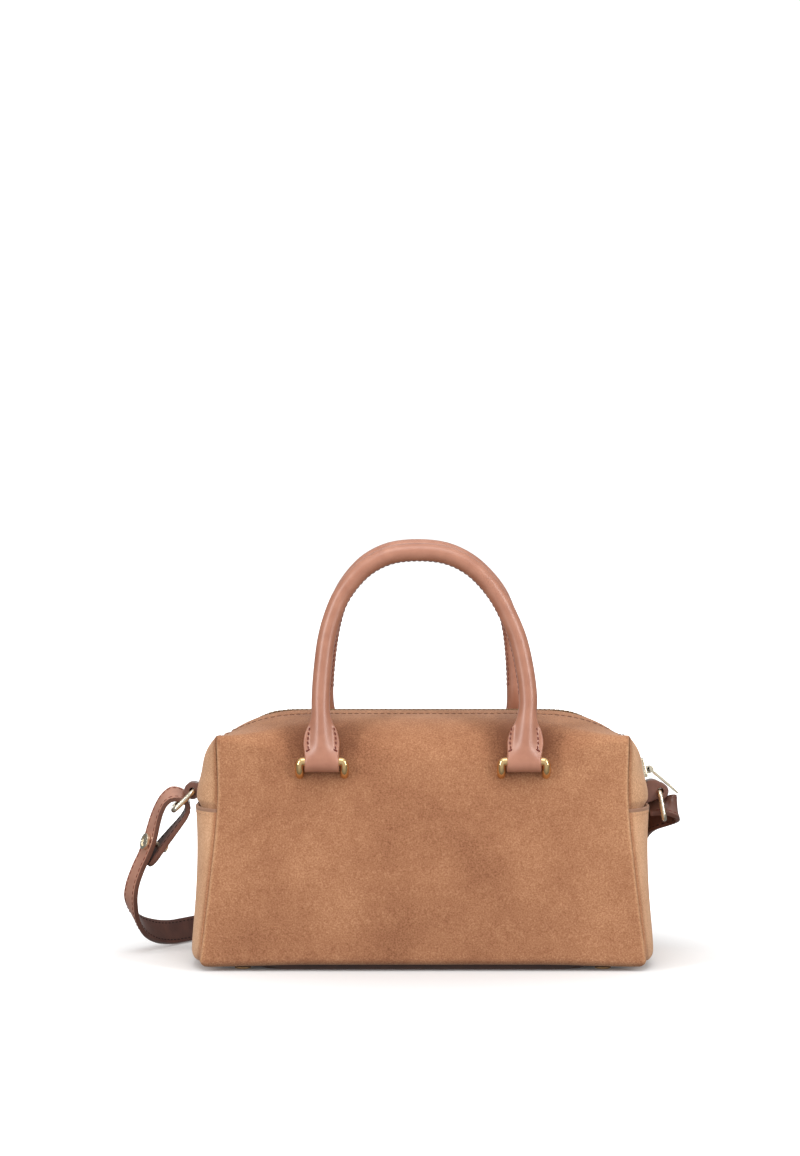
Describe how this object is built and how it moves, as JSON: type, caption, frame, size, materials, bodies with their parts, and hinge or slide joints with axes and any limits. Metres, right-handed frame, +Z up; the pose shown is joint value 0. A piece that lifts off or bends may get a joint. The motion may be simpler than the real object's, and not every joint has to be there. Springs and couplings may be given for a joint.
{
  "type": "suede handbag",
  "caption": "Small structured suede handbag with an end-to-end top zip, rolled handles on brass staples, ring loops at the ends and a flat leather shoulder strap.",
  "frame": {"origin": "on the floor under the middle of the bag's leather base", "axes": "+X to the bag's right as seen from the front, the front faces -Y, +Z up"},
  "size_m": [0.3224, 0.3235, 0.2422],
  "materials": {
    "suede": "tan suede with a short mottled nap",
    "smooth_leather": "smooth tan leather with stitched edges",
    "strap_leather": "smooth tan leather with dark painted edges",
    "dark_leather": "dark brown leather",
    "brass": "antique gold polish",
    "pale_brass": "pale gold polish",
    "zip_cloth": "woven zip tape"
  },
  "bodies": {
    "bag": {"front_panel": "suede", "back_panel": "suede", "gusset_left": "suede", "gusset_right": "suede", "base_panel": "dark_leather", "foot_front_left": "brass", "foot_front_right": "brass", "foot_back_left": "brass", "foot_back_right": "brass", "zip_tape": "zip_cloth", "zip_chain": "pale_brass", "zip_slider": "pale_brass", "staple_front_left": "brass", "staple_front_right": "brass", "staple_back_left": "brass", "staple_back_right": "brass", "tab_left": "dark_leather", "tab_right": "dark_leather", "ring_left": "pale_brass", "ring_right": "pale_brass", "shoulder_strap": "strap_leather", "strap_stud": "pale_brass"},
    "front_handle": {"handle_front": "smooth_leather"},
    "back_handle": {"handle_back": "smooth_leather"},
    "puller": {"zip_puller": "pale_brass"}
  },
  "joints": [
    {"name": "front_handle_swing", "type": "hinge", "parent": "bag", "child": "front_handle", "pos_m": [0, -0.0532, 0.1165], "axis": [1, 0, 0], "range_deg": [-15, 150]},
    {"name": "back_handle_swing", "type": "hinge", "parent": "bag", "child": "back_handle", "pos_m": [0, 0.0532, 0.1165], "axis": [-1, 0, 0], "range_deg": [-15, 150]},
    {"name": "puller_swing", "type": "hinge", "parent": "bag", "child": "puller", "pos_m": [0.13147, 0, 0.10866], "axis": [0, -1, 0], "range_deg": [0, 135]}
  ]
}
